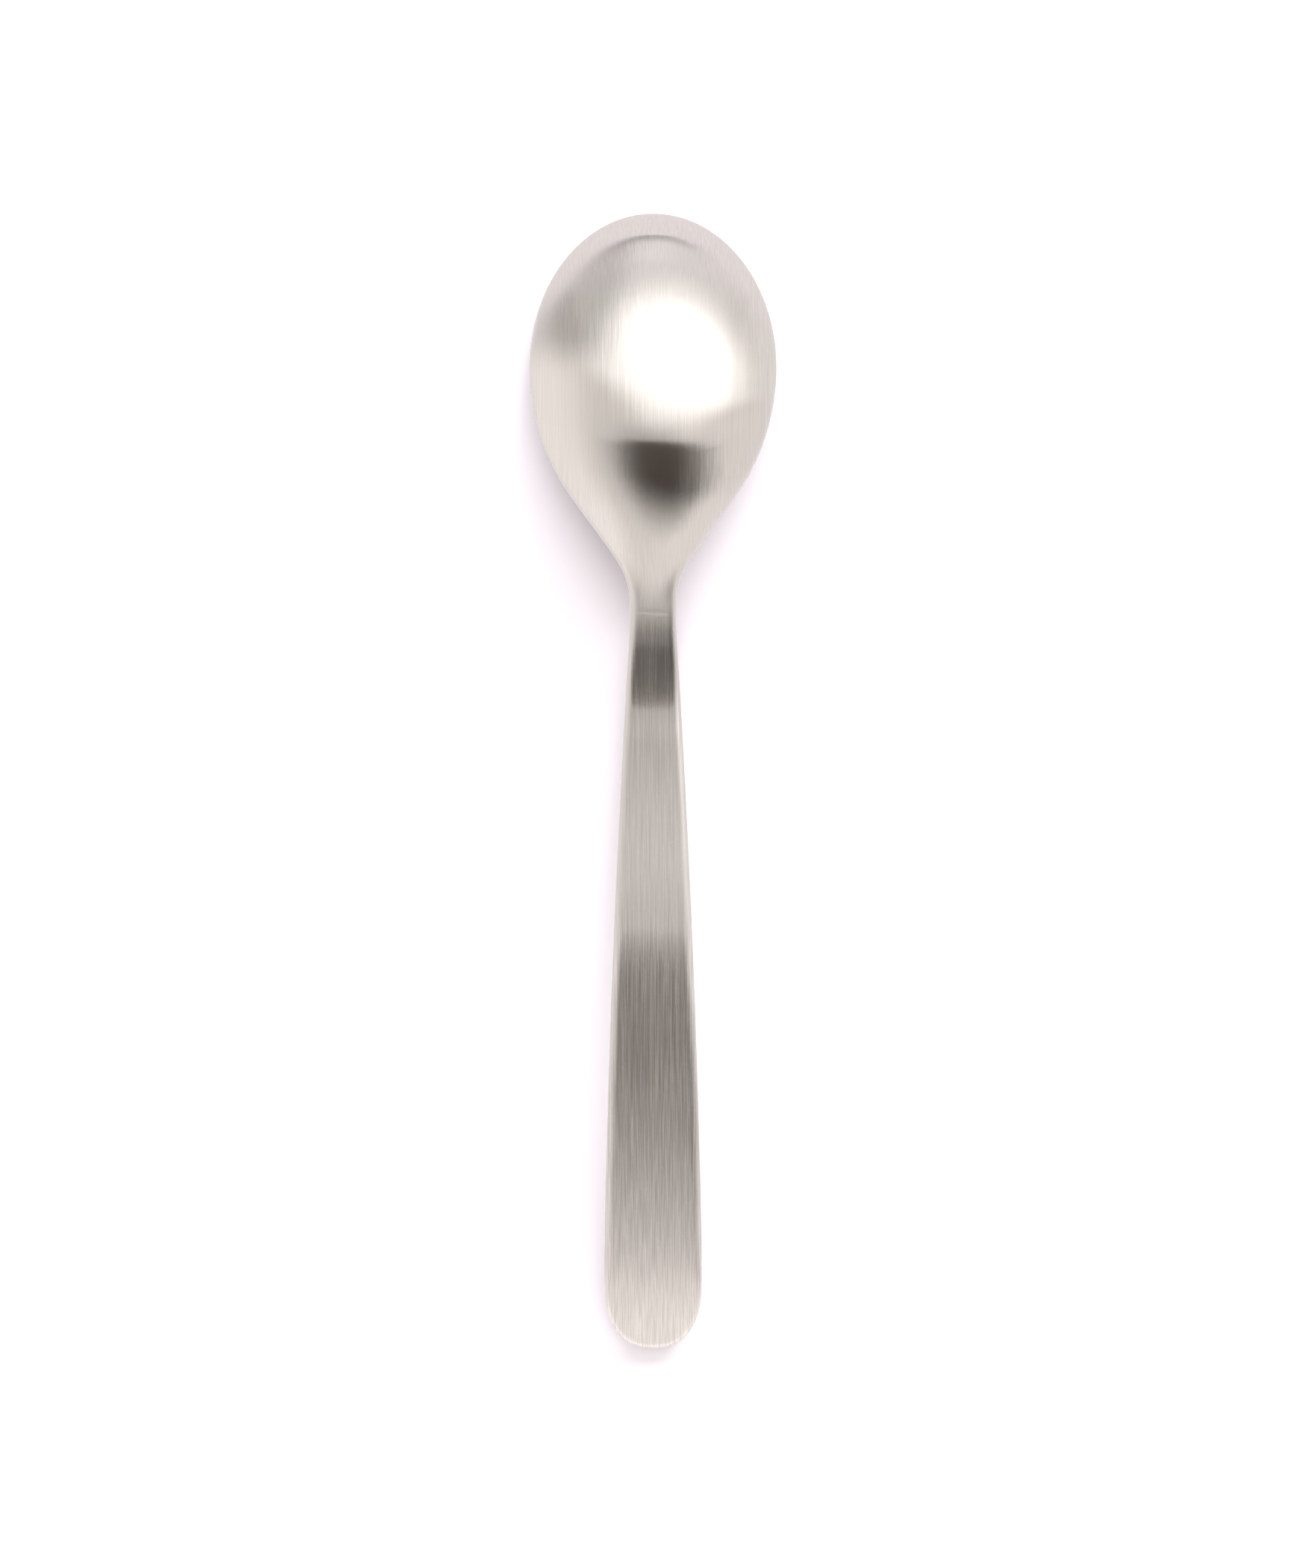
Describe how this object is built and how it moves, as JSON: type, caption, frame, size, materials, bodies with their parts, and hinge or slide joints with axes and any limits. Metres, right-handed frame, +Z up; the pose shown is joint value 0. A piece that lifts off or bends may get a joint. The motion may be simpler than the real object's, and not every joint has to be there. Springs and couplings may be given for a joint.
{
  "type": "table spoon",
  "caption": "One-piece pressed steel table spoon: egg-shaped bowl, narrow neck and a flat handle that widens to a round end.",
  "frame": {"origin": "on the table under the middle of the spoon, which lies face down on its bowl's tip and its handle's end", "axes": "+Y runs from the handle's end to the bowl's tip, +X across the spoon, +Z up out of the back of the bowl"},
  "size_m": [0.0414, 0.191, 0.0146],
  "materials": {
    "brushed_steel": "satin, brushed lengthwise"
  },
  "bodies": {
    "root": {"spoon": "brushed_steel"}
  },
  "joints": []
}
